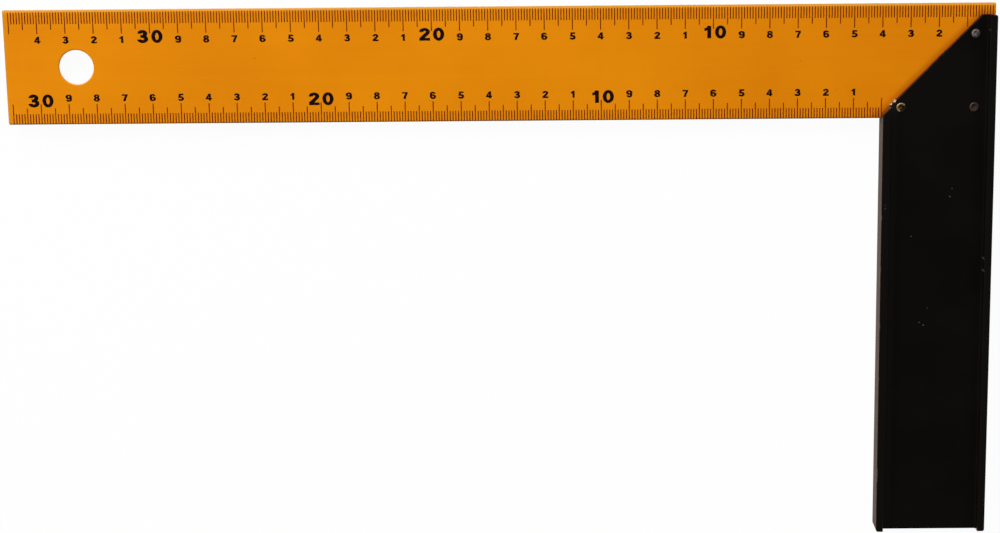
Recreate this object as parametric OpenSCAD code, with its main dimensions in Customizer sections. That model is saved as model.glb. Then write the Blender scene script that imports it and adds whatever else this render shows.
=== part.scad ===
// Try-and-mitre square: a graduated steel blade riveted into a slotted stock.
// Millimetres. +X runs along the blade towards the stock, +Y up the stock towards the blade, +Z through
// the thickness. The origin is under the middle of the square, on the plane that it lies on.

/* [Blade] */
// Length of the blade, from its free end to the outer face of the stock
blade_len = 352; // [250:1:600]
// Width of the blade
blade_w = 40.8; // [34:0.1:60]
// Thickness of the blade
blade_t = 1; // [0.8:0.1:1.6]
// Radius on the corners of the blade
blade_corner_r = 0.6; // [0.2:0.1:2]
// Diameter of the hanging hole
hang_d = 12.3; // [4:0.1:20]
// Distance from the free end to the centre of the hanging hole
hang_inset = 25.3; // [15:0.1:60]

/* [Stock] */
// Length of the stock, from its top to its foot
stock_len = 189.7; // [120:0.1:300]
// Width of the stock, between its inner and outer faces
stock_w = 40; // [32:0.5:60]
// Thickness of the stock, over the rims on both sides
stock_t = 10; // [8:0.5:16]
// Thickness of each rim
rim_t = 2.65; // [1.6:0.05:4]
// Thickness of the web between the rims
web_t = 2.8; // [2.4:0.1:4]
// Radius on the long edges of the rims
rim_edge_r = 0.4; // [0.1:0.05:0.7]
// Radius in the roots between web and rims
root_r = 0.6; // [0.2:0.1:1.2]
// Radius on the corners of the foot and of the top
end_r = 0.9; // [0.3:0.1:2]
// Flat left at the top of the stock, beside the mitre
top_land = 5.1; // [4:0.1:10]
// Height above the blade's lower edge at which the mitre leaves the inner face
mitre_rise = 1.8; // [0.5:0.1:4]

/* [Saw slot] */
// Gap between the slot and each face of the blade
slot_clear = 0.05; // [0.02:0.01:0.1]
// Depth of the slot below the blade's lower edge
slot_runout = 2; // [0.5:0.1:5]

/* [Rivets] */
// Diameter of the shank
shank_d = 2.8; // [2:0.1:3.5]
// Gap between the shank and its hole, all round
shank_clear = 0.05; // [0.02:0.01:0.1]
// Wall of the hollow end
tube_wall = 0.35; // [0.2:0.05:0.8]
// Depth of the hollow end, below the face of the web
tube_depth = 1.2; // [0.6:0.1:2]
// How far the hollow end is rolled out past the shank
roll_w = 0.35; // [0.2:0.05:0.8]
// Diameter of the head at the back
head_d = 5; // [4:0.1:6]
// Height of the head at the back
head_h = 0.9; // [0.4:0.1:1.4]
// Distance from the outer face to the upper and outer rivets
outer_inset = 7.1; // [5.5:0.1:9]
// Distance from the top of the stock to the upper rivet
top_inset = 6.7; // [5.5:0.1:9]
// Distance from the inner face to the inner rivet
inner_inset = 6.9; // [6:0.1:9]
// Height of the inner and outer rivets above the blade's lower edge
low_rise = 3.8; // [2.5:0.1:5]

/* [Hidden] */
$fn = 96;

blade_colour = "#dc8810";
stock_colour = "#121210";
rivet_colour = "#b4afa5";

// How far a cut runs past the faces that it goes through
over = 1;

// The mitre takes off an equal length of the top and of the inner face
mitre_leg = stock_w - top_land;

// Height of the blade's upper edge above the top of the stock
blade_rise = blade_w - mitre_rise - mitre_leg;

// Faces and edges of the square, in its own frame
outer_x = blade_len / 2;
inner_x = outer_x - stock_w;
free_x = outer_x - blade_len;
blade_top_y = (stock_len + blade_rise) / 2;
blade_low_y = blade_top_y - blade_w;
stock_top_y = blade_top_y - blade_rise;
mid_z = stock_t / 2;

slot_t = blade_t + 2 * slot_clear;
slot_low_y = blade_low_y - slot_runout;

upper_spot = [outer_x - outer_inset, stock_top_y - top_inset];
inner_spot = [inner_x + inner_inset, blade_low_y + low_rise];
outer_spot = [outer_x - outer_inset, blade_low_y + low_rise];
rivet_spots = [upper_spot, inner_spot, outer_spot];

shank_r = shank_d / 2;
tube_r = shank_r - tube_wall;
roll_r = (tube_wall + roll_w) / 2;
head_r = head_d / 2;

// Radius of the dome that is head_d across and head_h high
dome_r = (head_r * head_r + head_h * head_h) / (2 * head_h);

// A rectangle with rounded corners, from the origin into +x and +y
module rounded_rect(size, r) {
    translate([r, 0])
        square([size.x - 2 * r, size.y]);
    translate([0, r])
        square([size.x, size.y - 2 * r]);
    for (x = [r, size.x - r], y = [r, size.y - r])
        translate([x, y])
            circle(r);
}

// The corner that a fillet of radius r fills
module root_fillet(r) {
    difference() {
        square(r);
        translate([r, r])
            circle(r);
    }
}

// The holes that the rivets go through
module rivet_holes() {
    for (spot = rivet_spots)
        translate([spot.x, spot.y, mid_z])
            cylinder(h = web_t + 2 * over, d = shank_d + 2 * shank_clear, center = true);
}

module blade() {
    color(blade_colour)
        difference() {
            translate([free_x, blade_low_y, mid_z - blade_t / 2])
                linear_extrude(blade_t)
                    rounded_rect([blade_len, blade_w], blade_corner_r);
            translate([free_x + hang_inset, blade_low_y + blade_w / 2, mid_z])
                cylinder(h = blade_t + 2 * over, d = hang_d, center = true);
            rivet_holes();
        }
}

// The H section of the extrusion, with its width along x and its thickness along y
module stock_section() {
    for (x = [0, stock_w - rim_t])
        translate([x, 0])
            rounded_rect([rim_t, stock_t], rim_edge_r);
    translate([rim_t, (stock_t - web_t) / 2])
        square([stock_w - 2 * rim_t, web_t]);
    translate([stock_w / 2, stock_t / 2])
        for (across = [0, 1], through = [0, 1])
            mirror([across, 0])
                mirror([0, through])
                    translate([rim_t - stock_w / 2, web_t / 2])
                        root_fillet(root_r);
}

// The outline of the stock seen from the front, with its top left corner at the origin
module stock_outline() {
    difference() {
        translate([0, -stock_len])
            rounded_rect([stock_w, stock_len], end_r);
        polygon([[-over, -mitre_leg - over], [mitre_leg + over, over], [-over, over]]);
    }
}

module stock() {
    color(stock_colour)
        difference() {
            translate([inner_x, stock_top_y, 0])
                intersection() {
                    rotate([90, 0, 0])
                        linear_extrude(stock_len)
                            stock_section();
                    linear_extrude(stock_t)
                        stock_outline();
                }
            translate([inner_x - over, slot_low_y, mid_z - slot_t / 2])
                cube([stock_w + 2 * over, stock_top_y + over - slot_low_y, slot_t]);
            rivet_holes();
        }
}

// Half of the rivet's section, with its axis along y and the middle of the web at the origin
module rivet_section() {
    translate([0, -web_t / 2])
        square([shank_r, web_t - tube_depth]);
    translate([tube_r, web_t / 2 - tube_depth])
        square([tube_wall, tube_depth]);
    // The hollow end, rolled out over the front of the web
    translate([tube_r, web_t / 2])
        intersection() {
            translate([roll_r, 0])
                circle(roll_r);
            square(2 * roll_r);
        }
    // The low domed head, against the back of the web
    translate([0, -web_t / 2])
        intersection() {
            translate([0, dome_r - head_h])
                circle(dome_r);
            translate([0, -head_h])
                square([head_r, head_h]);
        }
}

module rivet(spot) {
    color(rivet_colour)
        translate([spot.x, spot.y, mid_z])
            rotate_extrude()
                rivet_section();
}

module upper_rivet() {
    rivet(upper_spot);
}

module inner_rivet() {
    rivet(inner_spot);
}

module outer_rivet() {
    rivet(outer_spot);
}

blade();
stock();
upper_rivet();
inner_rivet();
outer_rivet();
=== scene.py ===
# %% [markdown]
# # A try-and-mitre square, from solids to photograph
# A joiner's square is a thin steel blade, lacquered and printed with millimetre scales, riveted into a
# slotted black stock. The solids already carry every real shape and size. This lesson adds what a drawing
# leaves out: eased and worn edges, printed ink, two lacquers, rivets that a punch has set, and the light
# of a photographer's table. Everything is in metres, in the frame of the solids, so each piece is made
# where it belongs.

# %% Load the solids and read their sizes
import math

import bmesh
import bpy
from mathutils import Matrix, Vector, noise


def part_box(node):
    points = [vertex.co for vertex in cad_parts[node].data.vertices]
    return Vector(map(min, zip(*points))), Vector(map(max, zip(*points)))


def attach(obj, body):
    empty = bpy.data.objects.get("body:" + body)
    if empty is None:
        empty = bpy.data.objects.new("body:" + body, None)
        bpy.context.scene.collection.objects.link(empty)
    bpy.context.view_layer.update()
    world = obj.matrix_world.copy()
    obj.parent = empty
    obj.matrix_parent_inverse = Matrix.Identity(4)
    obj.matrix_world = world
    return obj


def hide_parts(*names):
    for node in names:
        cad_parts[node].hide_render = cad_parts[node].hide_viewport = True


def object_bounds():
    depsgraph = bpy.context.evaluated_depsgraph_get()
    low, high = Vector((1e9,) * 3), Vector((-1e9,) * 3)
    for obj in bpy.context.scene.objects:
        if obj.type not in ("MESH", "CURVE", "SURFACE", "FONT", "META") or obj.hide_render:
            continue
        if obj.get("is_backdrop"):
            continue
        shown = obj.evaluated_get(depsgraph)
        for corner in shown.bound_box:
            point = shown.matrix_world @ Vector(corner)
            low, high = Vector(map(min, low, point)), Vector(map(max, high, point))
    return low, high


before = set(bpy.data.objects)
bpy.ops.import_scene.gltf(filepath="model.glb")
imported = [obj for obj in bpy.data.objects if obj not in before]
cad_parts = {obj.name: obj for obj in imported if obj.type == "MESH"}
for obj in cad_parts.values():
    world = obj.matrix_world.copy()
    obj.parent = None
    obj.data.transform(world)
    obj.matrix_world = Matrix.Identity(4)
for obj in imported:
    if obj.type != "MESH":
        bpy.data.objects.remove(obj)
cad_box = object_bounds()
MM = 0.001

blade_low, blade_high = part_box("blade")
stock_low, stock_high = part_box("stock")
print("blade, mm:", [round(size / MM, 2) for size in blade_high - blade_low])
print("stock, mm:", [round(size / MM, 2) for size in stock_high - stock_low])

# %% [markdown]
# ## The camera
# The blade is its own ruler: the printed divisions were matched to their places in the picture, and that
# gave the camera. It stands seven tenths of a metre above the table, beyond the blade's upper edge and
# nearer to the stock, and is tipped back by ten degrees. A rotation of zero looks straight down, so three
# small turns say it all. The picture is cropped to the square, so the middle of the lens isn't the middle
# of the frame. Shift moves the frame by as much, and the camera needn't turn.

# %% Place the camera
CAMERA_PLACE = (0.03910, 0.14001, 0.70101)
CAMERA_TURNS = (-10.334, 0.070, -0.459)

camera = bpy.data.cameras.new("table_camera")
camera.sensor_width = 36
camera.lens = 70.428
camera.shift_x = -0.1058
camera.shift_y = -0.0282
viewer = bpy.data.objects.new("table_camera", camera)
viewer.location = CAMERA_PLACE
viewer.rotation_euler = [math.radians(turn) for turn in CAMERA_TURNS]
scene = bpy.context.scene
scene.collection.objects.link(viewer)
scene.camera = viewer
scene.view_settings.view_transform = "Standard"
print("camera height, mm:", round(viewer.location.z / MM, 1))

# %% [markdown]
# ## Shader maths as Python
# A finish is a sum of many faint patterns. Written out node by node it would be hard to read, so one
# class wraps a socket and lets plain Python operators add the Math nodes. A second class owns the node
# tree, and one method of it makes every other node: its type, its settings, and what goes into its
# sockets.

# %% Wrap a socket, and make any node
class Signal:
    """One output of a shader node, which can be used in sums."""

    def __init__(self, shader, socket):
        self.shader = shader
        self.socket = socket

    def maths(self, operation, first, second):
        return self.shader.node("ShaderNodeMath", {"operation": operation}, {0: first, 1: second})

    def __add__(self, other):
        return self.maths("ADD", self, other)

    __radd__ = __add__

    def __sub__(self, other):
        return self.maths("SUBTRACT", self, other)

    def __rsub__(self, other):
        return self.maths("SUBTRACT", other, self)

    def __mul__(self, other):
        return self.maths("MULTIPLY", self, other)

    __rmul__ = __mul__

    def least(self, other):
        return self.maths("MINIMUM", self, other)

    def most(self, other):
        return self.maths("MAXIMUM", self, other)

    def size(self):
        return self.maths("ABSOLUTE", self, 0)

    def rise(self, start, full):
        """A soft step from 0 at start to 1 at full."""
        sockets = {"Value": self, "From Min": start, "From Max": full}
        return self.shader.node("ShaderNodeMapRange", {"interpolation_type": "SMOOTHSTEP"}, sockets)


class Shader:
    """A node tree, and the one method that adds nodes to it."""

    def __init__(self, tree):
        self.tree = tree

    def feed(self, socket, value):
        if isinstance(value, Signal):
            self.tree.links.new(value.socket, socket)
        else:
            socket.default_value = value

    def node(self, kind, settings, sockets, out=0):
        made = self.tree.nodes.new(kind)
        for name, value in settings.items():
            setattr(made, name, value)
        for name, value in sockets.items():
            self.feed(made.inputs[name], value)
        return Signal(self, made.outputs[out])

    def place(self):
        return self.node("ShaderNodeTexCoord", {}, {}, "Object")

    def axis(self, vector, letter):
        return self.node("ShaderNodeSeparateXYZ", {}, {0: vector}, letter)

    def stretch(self, vector, scale, turn=0.0):
        sockets = {"Vector": vector, "Scale": scale, "Rotation": (0, 0, turn)}
        return self.node("ShaderNodeMapping", {}, sockets)

    def cloud(self, vector, scale, detail):
        return self.node("ShaderNodeTexNoise", {}, {"Vector": vector, "Scale": scale, "Detail": detail})

    def blend(self, share, first, second):
        return self.node("ShaderNodeMix", {"data_type": "RGBA"}, {0: share, 6: first, 7: second}, 2)

    def coat(self, colour, layers):
        """Lay tints over a colour: each layer is how strong it is, where it lies, and its tint."""
        for strength, mask, tint in layers:
            colour = self.blend(strength * mask, colour, tint)
        return colour

    def bump(self, height, distance):
        return self.node("ShaderNodeBump", {}, {"Height": height, "Distance": distance}, "Normal")


def new_finish(name):
    """A material, its shader tree and its surface node."""
    material = bpy.data.materials.new(name)
    material.use_nodes = True
    return material, Shader(material.node_tree), material.node_tree.nodes["Principled BSDF"]


print("helpers ready")

# %% [markdown]
# ## The table and the room
# The picture was taken on a white table, with lamps to the sides and a dark ceiling: the black stock
# shows almost no reflection from above. The room is therefore a pale wall that fades into a dim ceiling.
# The floor is white paint that takes the square's shadow. To the camera and to reflections it is lifted
# towards pure white with the Light Path node, which puts no extra light on the square.

# %% Paint the room
WALL_GREY = (0.55, 0.55, 0.55, 1)
CEILING_GREY = (0.06, 0.06, 0.062, 1)
CEILING_BAND = (0.10, 0.45)

room = bpy.data.worlds.new("photo_room")
room.use_nodes = True
scene.world = room
sky = Shader(room.node_tree)
upwards = sky.axis(sky.node("ShaderNodeTexCoord", {}, {}, "Generated"), "Z")
room_colour = sky.blend(upwards.rise(*CEILING_BAND), WALL_GREY, CEILING_GREY)
sky.feed(room.node_tree.nodes["Background"].inputs["Color"], room_colour)
print("room painted")

# %% Lay the floor
FLOOR_HALF = 20.0
FLOOR_GAP = 0.02 * MM
FLOOR_LIFT = 0.96
FLOOR_WHITE = (0.92, 0.92, 0.92, 1)
GLOW_WHITE = (1, 1, 1, 1)

floor_mesh = bmesh.new()
floor_place = Matrix.Translation((0, 0, stock_low.z - FLOOR_GAP))
bmesh.ops.create_grid(floor_mesh, x_segments=1, y_segments=1, size=FLOOR_HALF, matrix=floor_place)
floor_data = bpy.data.meshes.new("white_floor")
floor_mesh.to_mesh(floor_data)
floor_mesh.free()
floor = bpy.data.objects.new("white_floor", floor_data)
scene.collection.objects.link(floor)

floor_paint, paint, surface = new_finish("white_floor_paint")
surface.inputs["Base Color"].default_value = FLOOR_WHITE
surface.inputs["Roughness"].default_value = 0.9
surface.inputs["Specular IOR Level"].default_value = 0.1
seen = paint.node("ShaderNodeLightPath", {}, {}, "Is Camera Ray")
for ray in ("Is Glossy Ray", "Is Transmission Ray"):
    seen = seen.most(paint.node("ShaderNodeLightPath", {}, {}, ray))
glow = paint.node("ShaderNodeEmission", {}, {"Color": GLOW_WHITE, "Strength": 1.0})
lit = Signal(paint, surface.outputs["BSDF"])
lifted = paint.node("ShaderNodeMixShader", {}, {0: FLOOR_LIFT * seen, 1: lit, 2: glow})
paint.feed(floor_paint.node_tree.nodes["Material Output"].inputs["Surface"], lifted)
floor_data.materials.append(floor_paint)
floor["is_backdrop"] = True
print("floor at, mm:", round((stock_low.z - FLOOR_GAP) / MM, 3))

# %% [markdown]
# ## The lamps
# The upper and left edges of the blade catch the light and the lower edge doesn't, so the main lamp
# stands beyond the blade, to the left. Two weaker lamps fill in from the left and the right. All are
# large and soft. The left one lights the square but isn't mirrored in it, because it would lay a grey
# veil on the flat black stock.

# %% Hang three soft lamps
LAMPS = {
    "window_lamp": {"place": (-0.85, 1.85, 1.35), "watts": 77, "size": 1.8, "mirrored": True},
    "left_lamp": {"place": (-1.70, 0.35, 1.20), "watts": 11, "size": 1.5, "mirrored": False},
    "right_lamp": {"place": (1.70, 1.00, 1.00), "watts": 12, "size": 1.4, "mirrored": True},
}
for name, lamp in LAMPS.items():
    light = bpy.data.lights.new(name, "AREA")
    light.energy = lamp["watts"]
    light.size = lamp["size"]
    hung = bpy.data.objects.new(name, light)
    hung.location = lamp["place"]
    hung.rotation_euler = (-hung.location).to_track_quat("-Z", "Y").to_euler()
    hung.visible_camera = False
    hung.visible_glossy = lamp["mirrored"]
    scene.collection.objects.link(hung)
print("lamps:", ", ".join(LAMPS))

# %% [markdown]
# ## Blade lacquer
# The blade is sprayed with a yellow-orange lacquer. Sprayed lacquer is never quite even: it is deeper in
# soft clouds and in faint streaks along the blade, it has the fine skin of an orange, and it holds specks
# of dust. Towards the stock the orange is painted darker: painted shade. The edges change it most. A
# paler band along the upper edge is a painted highlight. The rounded edges take a greyer orange whose
# lightness is set to the light that they catch, so there the colour is partly painted light. The lower
# edge and the corner beside the stock are painted darker: painted shade. The lacquer is worn through to
# the steel in a few spots. Each of these is one faint layer, laid over the last.

# %% Mix the blade lacquer
STEEL = (0.36, 0.33, 0.29, 1)
ORANGE_PALE = (0.80, 0.262, 0.002, 1)
ORANGE_DEEP = (0.64, 0.172, 0.0005, 1)
ORANGE_HIGHLIGHT = (0.93, 0.44, 0.060, 1)
ORANGE_EDGE = (0.52, 0.255, 0.034, 1)
ORANGE_LOW_EDGE_SHADE = (0.20, 0.080, 0.012, 1)
ORANGE_CORNER_SHADE = (0.36, 0.062, 0.001, 1)
GRIME = (0.20, 0.075, 0.012, 1)

# Where each change starts and where it is over: the first along x, the others from an edge or the stock
STOCK_SHADE_BAND = (20 * MM, stock_low.x + 10 * MM)
HIGHLIGHT_BAND = (0.15 * MM, 1.7 * MM)
ROUND_BAND = (0.20 * MM, 0.50 * MM)
LOW_SHADE_BAND = (0.20 * MM, 0.60 * MM)
CORNER_SHADE_BAND = (0, 2.8 * MM)
BARE_BAND = (0.04 * MM, 0.16 * MM)

# The levels of a noise pattern at which it starts to show and shows in full
CLOUD_LEVELS = (0.25, 0.75)
CHAFE_LEVELS = (0.55, 0.75)
SPECK_LEVELS = (0.80, 0.83)
WEAR_LEVELS = (0.58, 0.66)
SKIN_DEPTH = 0.004 * MM

MITRE_RISE = 1.8 * MM
MITRE_FOOT = Vector((stock_low.x, blade_low.y + MITRE_RISE))
DIAGONAL = math.sqrt(0.5)


def mitre_along(shader, spot):
    """How far a point is along the mitre from its foot."""
    x = shader.axis(spot, "X") - MITRE_FOOT.x
    y = shader.axis(spot, "Y") - MITRE_FOOT.y
    return DIAGONAL * (x + y)


def mitre_below(shader, spot):
    """How far a point is below the mitre, on the side of the stock."""
    x = shader.axis(spot, "X") - MITRE_FOOT.x
    y = shader.axis(spot, "Y") - MITRE_FOOT.y
    return DIAGONAL * (x - y)


def rim_distance(shader, spot, low, high):
    """How far a point is from the nearest side of the box from low to high, seen from above."""
    x = shader.axis(spot, "X")
    y = shader.axis(spot, "Y")
    across = (x - low.x).least(high.x - x)
    along = (y - low.y).least(high.y - y)
    return across.least(along)


def mix_blade_lacquer():
    material, paint, surface = new_finish("blade_lacquer")
    spot = paint.place()
    x = paint.axis(spot, "X")
    y = paint.axis(spot, "Y")
    soft_clouds = paint.cloud(spot, scale=24, detail=3)
    streaks = paint.cloud(paint.stretch(spot, (9, 420, 9)), scale=1, detail=3)
    skin = paint.cloud(spot, scale=1300, detail=1)
    dust = paint.cloud(spot, scale=640, detail=1)
    chafe = paint.cloud(paint.stretch(spot, (60, 2600, 60), turn=0.35), scale=1, detail=2)
    wear = paint.cloud(spot, scale=260, detail=4)

    unevenness = (0.78 * soft_clouds + 0.22 * streaks).rise(*CLOUD_LEVELS)
    # Deeper in soft clouds and streaks; the term along x is painted shade that darkens the orange towards
    # the stock.
    depth = 0.42 * unevenness + 0.34 * x.rise(*STOCK_SHADE_BAND)
    edge = rim_distance(paint, spot, blade_low, blade_high)
    # Painted highlight: a paler band along the upper edge, where the light from beyond the blade falls.
    paler = 1 - (blade_high.y - y).rise(*HIGHLIGHT_BAND)
    # Partly painted light: the rounded edges take a greyer orange, its lightness set to the light that they
    # catch.
    rounded = 1 - edge.rise(*ROUND_BAND)
    # Painted shade: the rounded lower edge faces away from the light and is painted darker.
    low_edge_shade = 1 - (y - blade_low.y).rise(*LOW_SHADE_BAND)
    # Painted shade: the orange is darker in the corner beside the stock, where the stock shades it.
    from_stock = (0 - mitre_below(paint, spot)).most(y - stock_high.y)
    corner = 1 - from_stock.rise(*CORNER_SHADE_BAND)
    specks = dust.rise(*SPECK_LEVELS)
    bare = (1 - edge.rise(*BARE_BAND)) * wear.rise(*WEAR_LEVELS)
    layers = [
        (0.55, paler, ORANGE_HIGHLIGHT),
        (0.90, rounded, ORANGE_EDGE),
        (0.55, low_edge_shade, ORANGE_LOW_EDGE_SHADE),
        (0.55, corner, ORANGE_CORNER_SHADE),
        (0.50, specks, GRIME),
        (1.00, bare, STEEL),
    ]
    colour = paint.coat(paint.blend(depth, ORANGE_PALE, ORANGE_DEEP), layers)

    paint.feed(surface.inputs["Base Color"], colour)
    paint.feed(surface.inputs["Metallic"], bare * 0.8)
    rough = 0.22 + 0.06 * soft_clouds + 0.02 * chafe.rise(*CHAFE_LEVELS)
    paint.feed(surface.inputs["Roughness"], rough)
    height = skin + 0.5 * specks + 0.12 * chafe - 1.5 * bare
    paint.feed(surface.inputs["Normal"], paint.bump(height, SKIN_DEPTH))
    surface.inputs["Specular IOR Level"].default_value = 0.25
    return material


blade_lacquer = mix_blade_lacquer()
print("blade lacquer nodes:", len(blade_lacquer.node_tree.nodes))

# %% [markdown]
# ## Stock lacquer
# The stock is an extruded aluminium bar under a thin black stoving lacquer. Faint lines from the die lie
# along it, the lacquer has a fine grain, and dust has settled on it. The web beside the left rim is
# painted lighter, as painted light that cancels the rim's shadow, and the outer faces of the rims are a
# little lighter black. The inner face is painted a warm brown: a painted reflection of the white table at
# a grazing angle. The mitre was sawn, so its edge is sharp and the lacquer there is thin, and a brown line
# along it is partly a painted reflection of the orange blade. Small chips show the bright metal, and one
# faint spot on the rounded top corner is a painted highlight. The chips and the larger flecks of dust are
# listed one by one, as the picture has them, and noise patterns wear the other edges.

# %% Mix the stock lacquer
BLACK = (0.0030, 0.0026, 0.0021, 1)
BLACK_LIGHTER = (0.0053, 0.0048, 0.0039, 1)
BLACK_PAINTED_LIGHT = (0.0160, 0.0142, 0.0120, 1)
BLACK_THIN_AND_REFLECTION = (0.15, 0.042, 0.006, 1)
BLACK_FENCE_REFLECTION = (0.064, 0.028, 0.012, 1)
DUST_PALE = (0.34, 0.32, 0.29, 1)
ALUMINIUM = (0.62, 0.60, 0.58, 1)

# A chip is its distance along the mitre, its depth below it and its radius, in mm, and its strength
# The last entry is faint and sits on the rounded top corner of the stock: a painted highlight, not a chip.
MITRE_CHIPS_AND_GLINT = [(3.55, 0.82, 0.40, 1.0), (4.65, 0.08, 0.55, 1.0), (6.3, 0.20, 0.70, 1.0),
               (52.1, 2.85, 0.35, 0.15)]
CHIP_FLATNESS = 1.3
CHIP_RIM = 0.15 * MM
CHIP_RAGGED = 0.9 * MM

# A fleck is its x, its y and its radius, in mm
DUST_FLECKS = [(161.7, 30.6, 0.22), (161.0, 27.7, 0.32), (147.4, 13.2, 0.19), (153.7, -13.4, 0.18),
               (150.9, -18.6, 0.25), (152.4, -19.6, 0.30), (137.4, 25.15, 0.28), (137.4, 24.05, 0.26),
               (173.3, 5.3, 0.24), (173.3, 0.9, 0.18), (173.5, 87.5, 0.22)]
FLECK_CORE = 0.6
FLECK_RAGGED = 0.5 * MM

# Only what lies in front of the middle of the thickness
FRONT_BAND = (0, 0.3 * MM)

# Where each change starts and where it is over, from the face or edge that it belongs to
WORN_BAND = (0.10 * MM, 0.35 * MM)
RIM_BAND = (0.05 * MM, 0.25 * MM)
RIM_SIDE_BAND = (2.4 * MM, 2.6 * MM)
PAINTED_LIGHT_BAND = (2.5 * MM, 6.5 * MM)
MITRE_BAND = (0.15 * MM, 0.60 * MM)
FENCE_BAND = (0.02 * MM, 0.15 * MM)

# The levels of a noise pattern at which it starts to show and shows in full
BLACK_CLOUD_LEVELS = (0.3, 0.7)
BLACK_SPECK_LEVELS = (0.84, 0.87)
BLACK_WEAR_LEVELS = (0.58, 0.68)
MITRE_LINE_LEVELS = (0.25, 0.50)


def ragged_spot(aside, above, ragged, start, full):
    """A mask that is 1 in the middle of a small spot and ends at a ragged rim."""
    return 1 - (aside.size() + above.size() + ragged).rise(start, full)


def mix_stock_lacquer():
    material, paint, surface = new_finish("stock_lacquer")
    spot = paint.place()
    x = paint.axis(spot, "X")
    y = paint.axis(spot, "Y")
    z = paint.axis(spot, "Z")
    soft_clouds = paint.cloud(spot, scale=40, detail=3)
    die_lines = paint.cloud(paint.stretch(spot, (1500, 7, 1500)), scale=1, detail=2)
    grain = paint.cloud(spot, scale=2600, detail=1)
    dust = paint.cloud(spot, scale=520, detail=1)
    ragged = paint.cloud(spot, scale=900, detail=3) - 0.5
    patchy = paint.cloud(spot, scale=150, detail=4)

    along = mitre_along(paint, spot)
    below = mitre_below(paint, spot)
    chips_and_glint = 0.0
    for distance, depth, radius, strength in MITRE_CHIPS_AND_GLINT:
        aside = along - distance * MM
        above = CHIP_FLATNESS * (below - depth * MM)
        chip = ragged_spot(aside, above, ragged * CHIP_RAGGED, radius * MM - CHIP_RIM, radius * MM)
        chips_and_glint = (strength * chip).most(chips_and_glint)
    chips_and_glint = chips_and_glint * (z - (stock_low.z + stock_high.z) / 2).rise(*FRONT_BAND)

    specks = dust.rise(*BLACK_SPECK_LEVELS)
    for fleck_x, fleck_y, radius in DUST_FLECKS:
        aside = x - fleck_x * MM
        above = y - fleck_y * MM
        fleck = ragged_spot(aside, above, ragged * FLECK_RAGGED, FLECK_CORE * radius * MM, radius * MM)
        specks = specks.most(fleck)

    from_fence = x - stock_low.x
    from_side = from_fence.least(stock_high.x - x)
    from_front = (z - stock_low.z).least(stock_high.z - z)
    worn = (1 - from_side.most(from_front).rise(*WORN_BAND)) * patchy.rise(*BLACK_WEAR_LEVELS)
    # The outer faces of the rims, at the front and at the back, take the lighter black in full.
    rim_top = 1 - from_front.rise(*RIM_BAND)
    cloudy = 0.25 + 0.5 * soft_clouds.rise(*BLACK_CLOUD_LEVELS)
    # Painted light: the web beside the left rim is painted lighter, to cancel the rim's shadow there.
    painted_light_by_rim = from_fence.rise(*RIM_SIDE_BAND) * (1 - from_fence.rise(*PAINTED_LIGHT_BAND))
    # Thin lacquer on the sawn mitre edge, painted brown with a painted reflection of the orange blade.
    mitre_line_and_reflection = (1 - below.size().rise(*MITRE_BAND)) * patchy.rise(*MITRE_LINE_LEVELS)
    # Painted reflection: the fence face is painted a warm brown that stands in for the white table mirrored
    # in it at a grazing angle, made uneven by a noise pattern.
    fence = 1 - from_fence.rise(*FENCE_BAND)
    layers = [
        (0.90, painted_light_by_rim, BLACK_PAINTED_LIGHT),
        (0.90, mitre_line_and_reflection, BLACK_THIN_AND_REFLECTION),
        (1.00, fence * (0.7 + 0.3 * patchy), BLACK_FENCE_REFLECTION),
        (0.35, specks, DUST_PALE),
        (0.12, worn, ALUMINIUM),
        (1.00, chips_and_glint, ALUMINIUM),
    ]
    colour = paint.coat(paint.blend(cloudy.most(rim_top), BLACK, BLACK_LIGHTER), layers)

    paint.feed(surface.inputs["Base Color"], colour)
    paint.feed(surface.inputs["Metallic"], (0.25 * chips_and_glint).most(worn * 0.12))
    rough = 0.26 + 0.10 * soft_clouds + 0.20 * specks + 0.25 * chips_and_glint + 0.20 * fence
    paint.feed(surface.inputs["Roughness"], rough)
    height = grain + 0.7 * die_lines + 1.5 * specks - 4 * chips_and_glint
    paint.feed(surface.inputs["Normal"], paint.bump(height, SKIN_DEPTH))
    surface.inputs["Specular IOR Level"].default_value = 0.07
    return material


stock_lacquer = mix_stock_lacquer()
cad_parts["stock"].material_slots[0].material = stock_lacquer
print("stock lacquer nodes:", len(stock_lacquer.node_tree.nodes))

# %% [markdown]
# ## The blade
# The blade's solid is a plate with sharp edges. A real blade is tumbled before it is lacquered, so its
# edges are eased, and that is what draws the bright line along its upper edge. A Bevel would have to sort
# out the loose triangles of the flat faces. Insetting each face in four small steps, with a little more
# height each time, walks up the same quarter round and leaves clean strips of quads round the outline and
# the hanging hole.

# %% Ease the blade's edges
EASE_WIDTH = 0.55 * MM
EASE_DROP = 0.25 * MM
EASE_STEPS = 4
FLAT_FACE = 0.9
MERGE_GAP = 0.0005 * MM
SHARP_ANGLE = math.radians(40)
EASE_TURNS = [math.pi / 2 * step / EASE_STEPS for step in range(EASE_STEPS + 1)]


def merged_copy(node):
    """A copy of a solid with its loose triangles joined."""
    copy = bmesh.new()
    copy.from_mesh(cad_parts[node].data)
    bmesh.ops.remove_doubles(copy, verts=copy.verts, dist=MERGE_GAP)
    return copy


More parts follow.
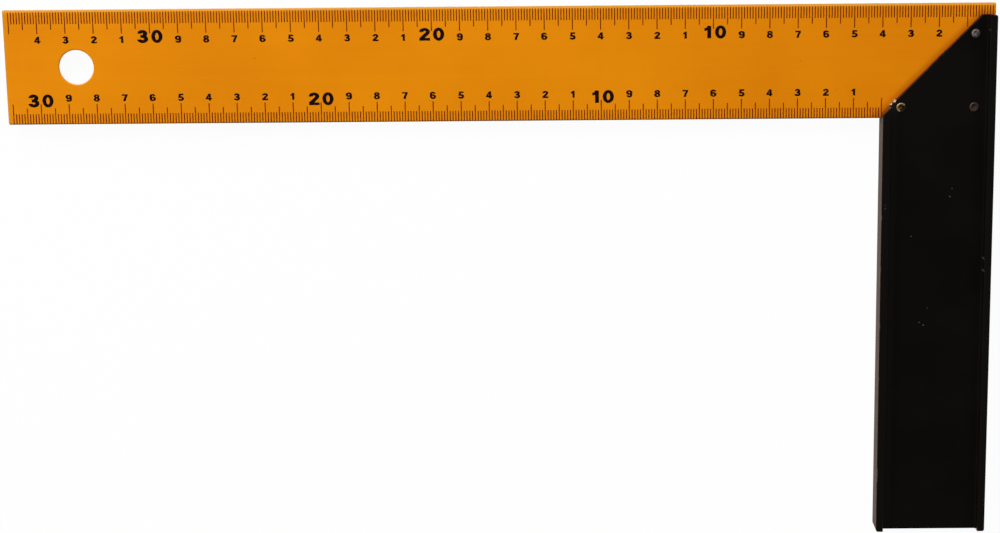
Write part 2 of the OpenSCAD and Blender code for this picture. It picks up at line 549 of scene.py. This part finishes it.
def ease_face(plate, up):
    """Round the rim of the flat face that looks up (1) or down (-1)."""
    faces = [face for face in plate.faces if face.normal.z * up > FLAT_FACE]
    rim = list({vert for face in faces for vert in face.verts})
    bmesh.ops.translate(plate, verts=rim, vec=(0, 0, -up * EASE_DROP))
    for before, after in zip(EASE_TURNS, EASE_TURNS[1:]):
        inwards = EASE_WIDTH * (math.cos(before) - math.cos(after))
        upwards = EASE_DROP * (math.sin(after) - math.sin(before))
        bmesh.ops.inset_region(
            plate,
            faces=faces,
            thickness=inwards,
            depth=upwards,
            use_boundary=True,
            use_even_offset=True,
        )


def new_piece(name, shape, finish):
    """Turn a bmesh into a smooth-shaded piece that rides with the square."""
    data = bpy.data.meshes.new(name)
    shape.to_mesh(data)
    shape.free()
    data.shade_smooth()
    data.set_sharp_from_angle(angle=SHARP_ANGLE)
    data.materials.append(finish)
    piece = bpy.data.objects.new(name, data)
    scene.collection.objects.link(piece)
    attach(piece, "root")
    print(name, "faces:", len(data.polygons))
    return piece


plate = merged_copy("blade")
ease_face(plate, 1)
ease_face(plate, -1)
blade = new_piece("eased_blade", plate, blade_lacquer)
flat_normals = blade.modifiers.new("flat_normals", "WEIGHTED_NORMAL")
flat_normals.keep_sharp = True
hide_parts("blade")

# %% [markdown]
# ## Printing ink
# The scales are screen printed: a film of black ink about two hundredths of a millimetre thick. The
# numerals take a full film. The fine lines of the divisions take less ink from the screen, so the lacquer
# shines through and they look dark brown. Both are a little uneven.

# %% Mix the two inks
FULL_INK = (0.006, 0.0012, 0.0006, 1)
FULL_INK_THIN = (0.016, 0.0035, 0.0012, 1)
LINE_INK = (0.125, 0.0045, 0.0010, 1)
LINE_INK_THIN = (0.190, 0.0105, 0.0015, 1)
INK_LEVELS = (0.42, 0.72)
INK_GRAIN = 0.003 * MM


def mix_ink(name, full, uneven):
    material, paint, surface = new_finish(name)
    spot = paint.place()
    film = paint.cloud(spot, scale=700, detail=3)
    coverage = paint.cloud(spot, scale=90, detail=2)
    paler = 0.6 * film + 0.4 * coverage
    colour = paint.blend(paler.rise(*INK_LEVELS), full, uneven)
    paint.feed(surface.inputs["Base Color"], colour)
    paint.feed(surface.inputs["Roughness"], 0.24 + 0.12 * film)
    paint.feed(surface.inputs["Normal"], paint.bump(film, INK_GRAIN))
    surface.inputs["Specular IOR Level"].default_value = 0.3
    return material


numeral_ink = mix_ink("numeral_ink", FULL_INK, FULL_INK_THIN)
line_ink = mix_ink("line_ink", LINE_INK, LINE_INK_THIN)
print("ink nodes:", len(line_ink.node_tree.nodes))

# %% [markdown]
# ## The divisions
# The upper scale counts from the outer face of the stock, the lower one from its inner face, and both run
# to the free end. Every division is a thin bar of ink, longer at five and at ten millimetres. A texture
# would be quicker, but bars of real ink stay sharp at any distance. The lower bars run over the eased
# edge of the blade, so they are cut across where the edge bends, and each cut is let down on to it.

# %% Print the divisions
# The film stands this high, and reaches a little into the lacquer so that no gap shows under it
INK_FILM = 0.02 * MM
INK_SUNK = 0.01 * MM

LINE_WIDTH = 0.35 * MM
UPPER_ENDS = {"one": 5.0 * MM, "five": 7.0 * MM, "ten": 8.5 * MM}
LOWER_ENDS = {"one": 3.82 * MM, "five": 5.83 * MM, "ten": 7.28 * MM}
UPPER_START = 0.87 * MM
LOWER_START = 0.02 * MM
UPPER_LAST = 350
LOWER_LAST = 310


def mark_length(number, ends):
    """Where the mark of this millimetre ends, from the edge of the blade."""
    if number % 10 == 0:
        return ends["ten"]
    if number % 5 == 0:
        return ends["five"]
    return ends["one"]


def edge_drop(distance):
    """How far the eased edge lies below the flat of the blade."""
    share = max(0.0, 1 - distance / EASE_WIDTH)
    return EASE_DROP * (1 - math.sqrt(1 - share * share))


def print_divisions(name, zero, edge, inwards, numbers, start, ends):
    """Print the bars of one scale, from its zero along x and from an edge of the blade inwards."""
    bars = bmesh.new()
    for number in numbers:
        end = mark_length(number, ends)
        middle_y = edge + inwards * (start + end) / 2
        middle_z = blade_high.z + (INK_FILM - INK_SUNK) / 2
        middle = Vector((zero - number * MM, middle_y, middle_z))
        size = Vector((LINE_WIDTH, end - start, INK_FILM + INK_SUNK))
        bmesh.ops.create_cube(bars, size=1, matrix=Matrix.LocRotScale(middle, None, size))
    for turn in EASE_TURNS[1:]:
        bend = edge + inwards * EASE_WIDTH * (1 - math.cos(turn))
        everything = bars.verts[:] + bars.edges[:] + bars.faces[:]
        bmesh.ops.bisect_plane(bars, geom=everything, plane_co=(0, bend, 0), plane_no=(0, 1, 0))
    for vert in bars.verts:
        vert.co.z -= edge_drop(abs(vert.co.y - edge))
    new_piece(name, bars, line_ink)


upper_numbers = range(1, UPPER_LAST + 1)
lower_numbers = range(0, LOWER_LAST + 1)
print_divisions("upper_divisions", blade_high.x, blade_high.y, -1, upper_numbers, UPPER_START, UPPER_ENDS)
print_divisions("lower_divisions", stock_low.x, blade_low.y, 1, lower_numbers, LOWER_START, LOWER_ENDS)

# %% [markdown]
# ## The numerals
# The numerals are plain, bold and wide. A sign writer draws such figures with a broad pen, and so does
# this cell: the pen is one edge, Spin pulls it round a bowl, and an extrusion pulls it along a stem. Each
# figure is drawn once in a narrow cell one unit high. Stretching it to its printed width makes the stems
# heavier than the bars, as wide type has them. Figures with flat ends are a little lower than round ones,
# because a round end has to reach further to look as tall.

# %% Describe the pen strokes
# A stroke in square brackets is pulled with the pen. Its first item is the pen's two ends, and each later
# item is a pull: a centre and an angle to swing it round, or the two points that its ends go straight to. A
# stroke in round brackets is a closed bowl: its centre, its outer half width and half height, and those of
# its eye.
def describe_figures(pen):
    """The strokes of every figure, for a pen of this breadth. A 9 is a 6 turned round."""
    bar = 0.92 * pen
    stem = 1.10 * pen
    one_left = 0.44 - stem
    waist_low = 0.505 - pen / 2
    waist_high = 0.505 + pen / 2
    four_left = 0.57 - pen
    four_low = 0.28 - bar / 2
    four_high = 0.28 + bar / 2
    five_eye = 0.325 - pen
    return {
        "0": [
            ((0.25, 0.50), (0.25, 0.50), (0.25 - 0.74 * pen, 0.50 - pen)),
        ],
        "1": [
            [((one_left, 0), (0.44, 0)), ((one_left, 1), (0.44, 1))],
            [((one_left, 0.93 - 1.3 * pen), (one_left, 0.93)), ((0.11, 0.84 - pen), (0.11, 0.84)),
             ((0, 0.81 - 0.9 * pen), (0, 0.81))],
        ],
        "2": [
            [((0, 0.68), (pen, 0.68)), ((0.30, 0.70), -222), ((1.35 * pen, bar), (0, bar))],
            [((0, 0), (0, bar)), ((0.60, 0), (0.60, bar))],
        ],
        "3": [
            [((0.005, 0.72), (0.005 + pen, 0.72)), ((0.28, 0.725), -268)],
            [((0.17, waist_low), (0.17, waist_high)), ((0.28, waist_low), (0.28, waist_high)),
             ((0.28, waist_high / 2), -262)],
        ],
        "4": [
            [((four_left, 0), (0.57, 0)), ((four_left, 1), (0.57, 1))],
            [((0, four_low), (0, four_high)), ((0.68, four_low), (0.68, four_high))],
            [((four_left, 1), (four_left, 1 - 1.4 * pen)), ((0, four_high), (pen, four_high))],
        ],
        "5": [
            [((0.09, 1 - bar), (0.09, 1)), ((0.57, 1 - bar), (0.57, 1))],
            [((0.09, 1 - bar), (0.09 + 0.9 * pen, 1 - bar)), ((0.04, 0.42), (0.04 + 0.85 * pen, 0.42))],
            [((0.048, 0.542), (0.29 - 0.743 * five_eye, 0.325 + 0.669 * five_eye)), ((0.29, 0.325), -300)],
        ],
        "6": [
            [((0.60, 0.71), (0.60 - pen, 0.71)), ((0.30, 0.70), 173), ((0, 0.31), (pen, 0.31))],
            ((0.315, 0.32), (0.315, 0.32), (0.315 - pen, 0.32 - 0.9 * pen)),
        ],
        "7": [
            [((0, 1 - bar), (0, 1)), ((0.58, 1 - bar), (0.58, 1))],
            [((0.58 - pen, 1 - bar), (0.58, 1 - bar)), ((0.435 - pen, 0.43), (0.435, 0.43)),
             ((0.355 - pen, 0), (0.355, 0))],
        ],
        "8": [
            ((0.305, 0.74), (0.275, 0.26), (0.275 - 0.90 * pen, 0.26 - 0.80 * pen)),
            ((0.305, 0.30), (0.305, 0.30), (0.305 - 0.95 * pen, 0.30 - 0.86 * pen)),
        ],
    }


print("figures described:", " ".join(describe_figures(pen=0.2)))

# %% Pull the pen
STEP_DEGREES = 12
RING_STEPS = 36
HAIR = 0.0015 * MM


def pull_pen(sheet, ends, pull):
    """Pull the pen's edge round a centre or straight to two points. Returns its new ends."""
    old_edge = sheet.edges.get(ends)
    centre, angle = pull
    if isinstance(angle, tuple):
        goals = [Vector((*point, 0)) for point in pull]
        pulled = bmesh.ops.extrude_edge_only(sheet, edges=[old_edge])["geom"]
        fresh = [part for part in pulled if isinstance(part, bmesh.types.BMVert)]
        new_ends = [min(fresh, key=lambda vert: (vert.co - end.co).length) for end in ends]
        for vert, goal in zip(new_ends, goals):
            vert.co = goal
        return new_ends
    pivot = Vector((*centre, 0))
    turn = Matrix.Rotation(math.radians(angle), 3, "Z")
    goals = [pivot + turn @ (end.co - pivot) for end in ends]
    spun = bmesh.ops.spin(
        sheet,
        geom=[*ends, old_edge],
        cent=pivot,
        axis=(0, 0, 1),
        angle=math.radians(angle),
        steps=round(abs(angle) / STEP_DEGREES),
        use_merge=False,
    )["geom_last"]
    fresh = [part for part in spun if isinstance(part, bmesh.types.BMVert)]
    return [min(fresh, key=lambda vert: (vert.co - goal).length) for goal in goals]


def draw_line(sheet, nib, *pulls):
    """Set the pen down and pull it along."""
    ends = [sheet.verts.new((*point, 0)) for point in nib]
    sheet.edges.new(ends)
    for pull in pulls:
        ends = pull_pen(sheet, ends, pull)


def draw_bowl(sheet, centre, outer, eye):
    """Fill the band between two ellipses."""
    for radii in (outer, eye):
        place = Matrix.LocRotScale(Vector((*centre, 0)), None, Vector((*radii, 1)))
        bmesh.ops.create_circle(sheet, segments=RING_STEPS, radius=1, matrix=place)
    bmesh.ops.bridge_loops(sheet, edges=sheet.edges[:])


def draw_figure(name, pen):
    """Draw one figure as flat strokes of ink, each a hair thicker than the one before it."""
    upside_down = name == "9"
    strokes = describe_figures(pen)["6" if upside_down else name]
    figure = bmesh.new()
    for number, parts in enumerate(strokes):
        stroke = bmesh.new()
        if isinstance(parts, tuple):
            draw_bowl(stroke, *parts)
        else:
            draw_line(stroke, *parts)
        raised = bmesh.ops.extrude_face_region(stroke, geom=stroke.faces[:])["geom"]
        top = [part for part in raised if isinstance(part, bmesh.types.BMVert)]
        bmesh.ops.translate(stroke, verts=top, vec=(0, 0, INK_FILM + INK_SUNK + number * HAIR))
        bmesh.ops.recalc_face_normals(stroke, faces=stroke.faces[:])
        data = bpy.data.meshes.new("stroke")
        stroke.to_mesh(data)
        stroke.free()
        figure.from_mesh(data)
        bpy.data.meshes.remove(data)
    if upside_down:
        bmesh.ops.rotate(figure, verts=figure.verts, matrix=Matrix.Rotation(math.pi, 3, "Z"))
    return figure


def fit_figure(figure, width, height):
    """Set a figure on the baseline with its left side at zero, at its printed size."""
    left = min(vert.co.x for vert in figure.verts)
    right = max(vert.co.x for vert in figure.verts)
    foot = min(vert.co.y for vert in figure.verts)
    head = max(vert.co.y for vert in figure.verts)
    bmesh.ops.translate(figure, verts=figure.verts, vec=(-left, -foot, 0))
    bmesh.ops.scale(figure, verts=figure.verts, vec=(width / (right - left), height / (head - foot), 1))


SMALL_HEIGHT = 2.57 * MM
SMALL_PEN = 0.235
BIG_HEIGHT = 4.6 * MM
BIG_PEN = 0.23
WIDTH_SHARES = {"0": 0.87, "1": 0.52, "2": 0.81, "3": 0.865, "4": 0.85, "5": 0.87, "6": 0.86, "7": 0.79,
                "8": 0.865, "9": 0.87}
FLAT_HEIGHT_SHARES = {"1": 0.96, "2": 0.98, "4": 0.96, "7": 0.96}
ROUND_HEIGHT_SHARE = 1.01


def cast_figures(height, pen):
    """Every figure at one printed height, as mesh data to stamp with."""
    cast = {}
    for name, share in WIDTH_SHARES.items():
        figure = draw_figure(name, pen)
        drawn_height = FLAT_HEIGHT_SHARES.get(name, ROUND_HEIGHT_SHARE) * height
        fit_figure(figure, share * height, drawn_height)
        bmesh.ops.translate(figure, verts=figure.verts, vec=(0, (height - drawn_height) / 2, 0))
        cast[name] = bpy.data.meshes.new("figure_" + name)
        figure.to_mesh(cast[name])
        figure.free()
    return cast


small_figures = cast_figures(SMALL_HEIGHT, SMALL_PEN)
big_figures = cast_figures(BIG_HEIGHT, BIG_PEN)
print("faces of a figure 8:", len(small_figures["8"].polygons))

# %% [markdown]
# Single figures stand under their centimetre mark. At every tenth centimetre two larger figures stand to
# the left and right of the mark, each at its own gap. On the upper scale both kinds share a baseline, and
# on the lower scale both hang from one line.

# %% Stamp the numerals
# From the mark to the two big figures, and from the mark to the middle of a single one
TENS_GAPS = {"1": 0.82 * MM, "2": 0.58 * MM, "3": 0.58 * MM}
ZERO_GAP = 0.53 * MM
LEANS = {"1": -0.13 * MM, "2": 0.10 * MM}


def stamp(sheet, figure, left, baseline):
    """Add one figure to the print, with its left side and its baseline where they are asked for."""
    before = len(sheet.verts)
    sheet.from_mesh(figure)
    sheet.verts.ensure_lookup_table()
    bmesh.ops.translate(sheet, verts=sheet.verts[before:], vec=(left, baseline, blade_high.z - INK_SUNK))


def print_numerals(name, zero, centimetres, small_line, big_line):
    """Print the figures of one scale, with a baseline for each of the two sizes."""
    sheet = bmesh.new()
    for number in centimetres:
        mark = zero - 10 * number * MM
        unit = str(number % 10)
        if unit == "0":
            tens = str(number // 10)
            tens_width = WIDTH_SHARES[tens] * BIG_HEIGHT
            stamp(sheet, big_figures[tens], mark - TENS_GAPS[tens] - tens_width, big_line)
            stamp(sheet, big_figures["0"], mark + ZERO_GAP, big_line)
        else:
            unit_width = WIDTH_SHARES[unit] * SMALL_HEIGHT
            stamp(sheet, small_figures[unit], mark - unit_width / 2 + LEANS.get(unit, 0), small_line)
    new_piece(name, sheet, numeral_ink)


UPPER_LINE = blade_high.y - 11.95 * MM
LOWER_SMALL_LINE = blade_low.y + 8.13 * MM
LOWER_BIG_LINE = blade_low.y + 6.2 * MM
upper_centimetres = range(1, UPPER_LAST // 10)
lower_centimetres = range(1, LOWER_LAST // 10)
print_numerals("upper_numerals", blade_high.x, upper_centimetres, UPPER_LINE, UPPER_LINE)
print_numerals("lower_numerals", stock_low.x, lower_centimetres, LOWER_SMALL_LINE, LOWER_BIG_LINE)

# %% [markdown]
# ## The rivets
# Three semi-tubular rivets hold the blade. A punch rolled each hollow end out over the black web, so no
# two are alike: the rolled ring is a little uneven, black lacquer has crept over its foot, and the hollow
# is filled to some depth. Each is painted darker on its far side from the lamp, towards the lower right:
# painted shade, laid on as a duller tone of the metal and as the black of the lacquer. The upper one is
# full and dull, the inner one is brassy with a deep brown hollow, and the outer one is dark. A merged copy
# of each solid is pushed about slightly with noise, its hollow is made shallower, and a metal of its own
# goes on it. At the back the heads are all dull.

# %% Mix the rivet metal
ROLL_HEIGHT = 0.35 * MM
HOLLOW_RADIUS = 1.05 * MM
CREST_RADIUS = HOLLOW_RADIUS + ROLL_HEIGHT
RING_RADIUS = 1.75 * MM
# The far side points to the lower right, away from the main lamp, and is painted darker there: painted
# shade.
FAR_SIDE = Vector((0.8, -0.6))
SHADED_BAND = (-RING_RADIUS, 0.2 * RING_RADIUS)
HOLLOW_BAND = (0.75 * HOLLOW_RADIUS, 1.05 * HOLLOW_RADIUS)
PATCH_LEVELS = (0.38, 0.62)
STAIN_LEVELS = (0.48, 0.62)
FOOT_FADE = 0.06
FAR_SHADE_FADE = 0.4 * RING_RADIUS
FAR_SHADE_RAGGED = 0.5 * RING_RADIUS
HEAD_TARNISH = 0.8
METAL_GRAIN = 0.012 * MM
LACQUER_BLACK_AND_SHADE = (0.004, 0.0034, 0.0028, 1)

# The first three are the tints of the ring and of its hollow, and metal is how metallic the ring is. Skirt
# is the share of the ring that the lacquer at its foot leaves free, lean moves the hollow off the middle,
# and the start of the painted shade on the far side is given as a share of the ring's radius. Plug is how
# far the hollow is filled, and the others say how strongly the hollow, the foot, the painted shade on the
# far side and the stains show.
RIVETS = {
    "upper_rivet": {
        "bright": (0.50, 0.430, 0.415, 1),
        "dull": (0.075, 0.060, 0.054, 1),
        "deep": (0.10, 0.085, 0.078, 1),
        "metal": 0.35, "skirt": 0.84, "lean": 0.0, "hollow": 0.0, "foot": 0.98,
        "far_shade": 0.85, "far_shade_from": -0.15, "stain": 0.30, "plug": 0.93,
    },
    "inner_rivet": {
        "bright": (0.56, 0.365, 0.13, 1),
        "dull": (0.40, 0.24, 0.09, 1),
        "deep": (0.13, 0.052, 0.008, 1),
        "metal": 1.0, "skirt": 0.96, "lean": 0.35, "hollow": 0.95, "foot": 0.92,
        "far_shade": 0.98, "far_shade_from": -0.10, "stain": 0.15, "plug": 0.45,
    },
    "outer_rivet": {
        "bright": (0.15, 0.100, 0.080, 1),
        "dull": (0.080, 0.052, 0.042, 1),
        "deep": (0.034, 0.015, 0.010, 1),
        "metal": 1.0, "skirt": 0.90, "lean": 0.0, "hollow": 0.70, "foot": 0.90,
        "far_shade": 0.55, "far_shade_from": 0.05, "stain": 0.30, "plug": 0.85,
    },
}


def mix_rivet_metal(name, middle, look):
    material, paint, surface = new_finish(name)
    spot = paint.place()
    flat = paint.node("ShaderNodeVectorMath", {"operation": "MULTIPLY"}, {0: spot, 1: (1, 1, 0)})
    centre = (middle.x, middle.y, 0)
    radius = paint.node("ShaderNodeVectorMath", {"operation": "DISTANCE"}, {0: flat, 1: centre}, "Value")
    patches = paint.cloud(spot, scale=1100, detail=3)
    stains = paint.cloud(spot, scale=800, detail=2)
    scratches = paint.cloud(paint.stretch(spot, (900, 9000, 900), turn=0.6), scale=1, detail=2)

    right = paint.axis(spot, "X") - middle.x
    above = paint.axis(spot, "Y") - middle.y
    far_side = FAR_SIDE.x * right + FAR_SIDE.y * above
    front = (paint.axis(spot, "Z") - middle.z).rise(*FRONT_BAND)
    # Painted shade: the metal turns duller towards the far side, on top of real tarnish patches.
    tarnish_and_shade = 0.4 * patches.rise(*PATCH_LEVELS) + 0.6 * far_side.rise(*SHADED_BAND)
    tarnish_and_shade = tarnish_and_shade.most(HEAD_TARNISH * (1 - front))
    hollow = 1 - (radius - look["lean"] * far_side).rise(*HOLLOW_BAND)
    filled = hollow * front * look["hollow"]
    skirt = look["skirt"] * RING_RADIUS
    foot = radius.rise((1 - FOOT_FADE) * skirt, (1 + FOOT_FADE) * skirt)
    # Painted shade on the far side, in the black of the lacquer; the lacquer over the foot is real.
    far_shade_start = look["far_shade_from"] * RING_RADIUS
    far_shade = (far_side + FAR_SHADE_RAGGED * (patches - 0.5)).rise(far_shade_start, far_shade_start + FAR_SHADE_FADE)
    lacquer_and_shade = (foot * look["foot"]).most(far_shade * look["far_shade"]) * front
    dark = lacquer_and_shade.most(stains.rise(*STAIN_LEVELS) * look["stain"])
    layers = [
        (1.00, filled, look["deep"]),
        (1.00, dark, LACQUER_BLACK_AND_SHADE),
    ]
    colour = paint.coat(paint.blend(tarnish_and_shade, look["bright"], look["dull"]), layers)

    paint.feed(surface.inputs["Base Color"], colour)
    paint.feed(surface.inputs["Metallic"], (1 - dark.most(filled)) * look["metal"])
    paint.feed(surface.inputs["Roughness"], 0.46 + 0.14 * tarnish_and_shade + 0.10 * dark)
    surface.inputs["Specular IOR Level"].default_value = 0.1
    height = 0.6 * patches + scratches
    paint.feed(surface.inputs["Normal"], paint.bump(height, METAL_GRAIN))
    return material


print("rivets to set:", ", ".join(RIVETS))

# %% Set the rivets
DENT = 0.10 * MM
DENT_SCALE = 900
DENT_SEED = 7
INSIDE_CREST = 0.99 * CREST_RADIUS

# Without a seed, Blender's noise vectors differ each time the script is started
noise.seed_set(DENT_SEED)


def is_in_hollow(vert, middle):
    """Whether a point lies inside the crest of the rolled end, and not on the shank or the head."""
    aside = Vector((vert.co.x - middle.x, vert.co.y - middle.y)).length
    return aside < INSIDE_CREST and vert.co.z > middle.z


def set_rivet(node, look):
    """Dent a copy of one rivet's solid, fill its hollow and give it a metal of its own."""
    rivet_low, rivet_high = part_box(node)
    middle = (rivet_low + rivet_high) / 2
    rivet = merged_copy(node)
    rolled = [vert for vert in rivet.verts if vert.co.z > rivet_high.z - ROLL_HEIGHT]
    for vert in rolled:
        share = (vert.co.z - rivet_high.z + ROLL_HEIGHT) / ROLL_HEIGHT
        push = noise.noise_vector(vert.co * DENT_SCALE)
        push.z = -abs(push.z)
        vert.co += push * DENT * share
    for vert in rivet.verts:
        if is_in_hollow(vert, middle):
            vert.co.z += look["plug"] * (rivet_high.z - vert.co.z)
    metal = mix_rivet_metal(node + "_metal", middle, look)
    piece = new_piece("set_" + node, rivet, metal)
    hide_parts(node)


for node, look in RIVETS.items():
    set_rivet(node, look)

# %% [markdown]
# ## The size of the dressed square
# The dressed square must keep the size of its solids, so its box is measured again and the largest
# difference from the box of the solids is printed.

# %% Compare the sizes and finish
visual_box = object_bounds()
growth = max(abs(a - b) for one, two in zip(cad_box, visual_box) for a, b in zip(one, two))
print("largest difference between the boxes, mm:", round(growth / MM, 4))
